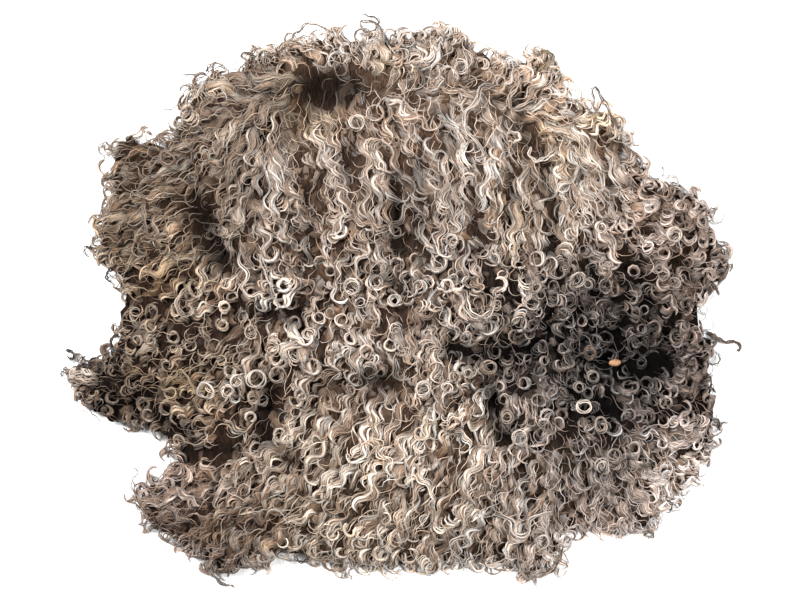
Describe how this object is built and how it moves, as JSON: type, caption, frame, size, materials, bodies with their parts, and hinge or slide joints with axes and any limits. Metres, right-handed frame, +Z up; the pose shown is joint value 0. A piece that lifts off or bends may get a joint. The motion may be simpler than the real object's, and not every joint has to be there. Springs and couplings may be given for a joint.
{
  "type": "raw wool fleece",
  "caption": "Uneven mat of long curly locks, shorn in one piece and laid out flat with its curls upward.",
  "frame": {"origin": "middle of the fleece's extents, on the flat underside that it rests on", "axes": "+X along the longer way of the fleece, to the side away from its narrow tail of wool; +Y to the end where the long locks are rooted; +Z up through the curls"},
  "size_m": [0.7804, 0.6477, 0.0771],
  "materials": {
    "wool": "greasy raw wool, cream to charcoal, with soft gloss on the locks"
  },
  "bodies": {
    "root": {"fleece": "wool"}
  },
  "joints": []
}
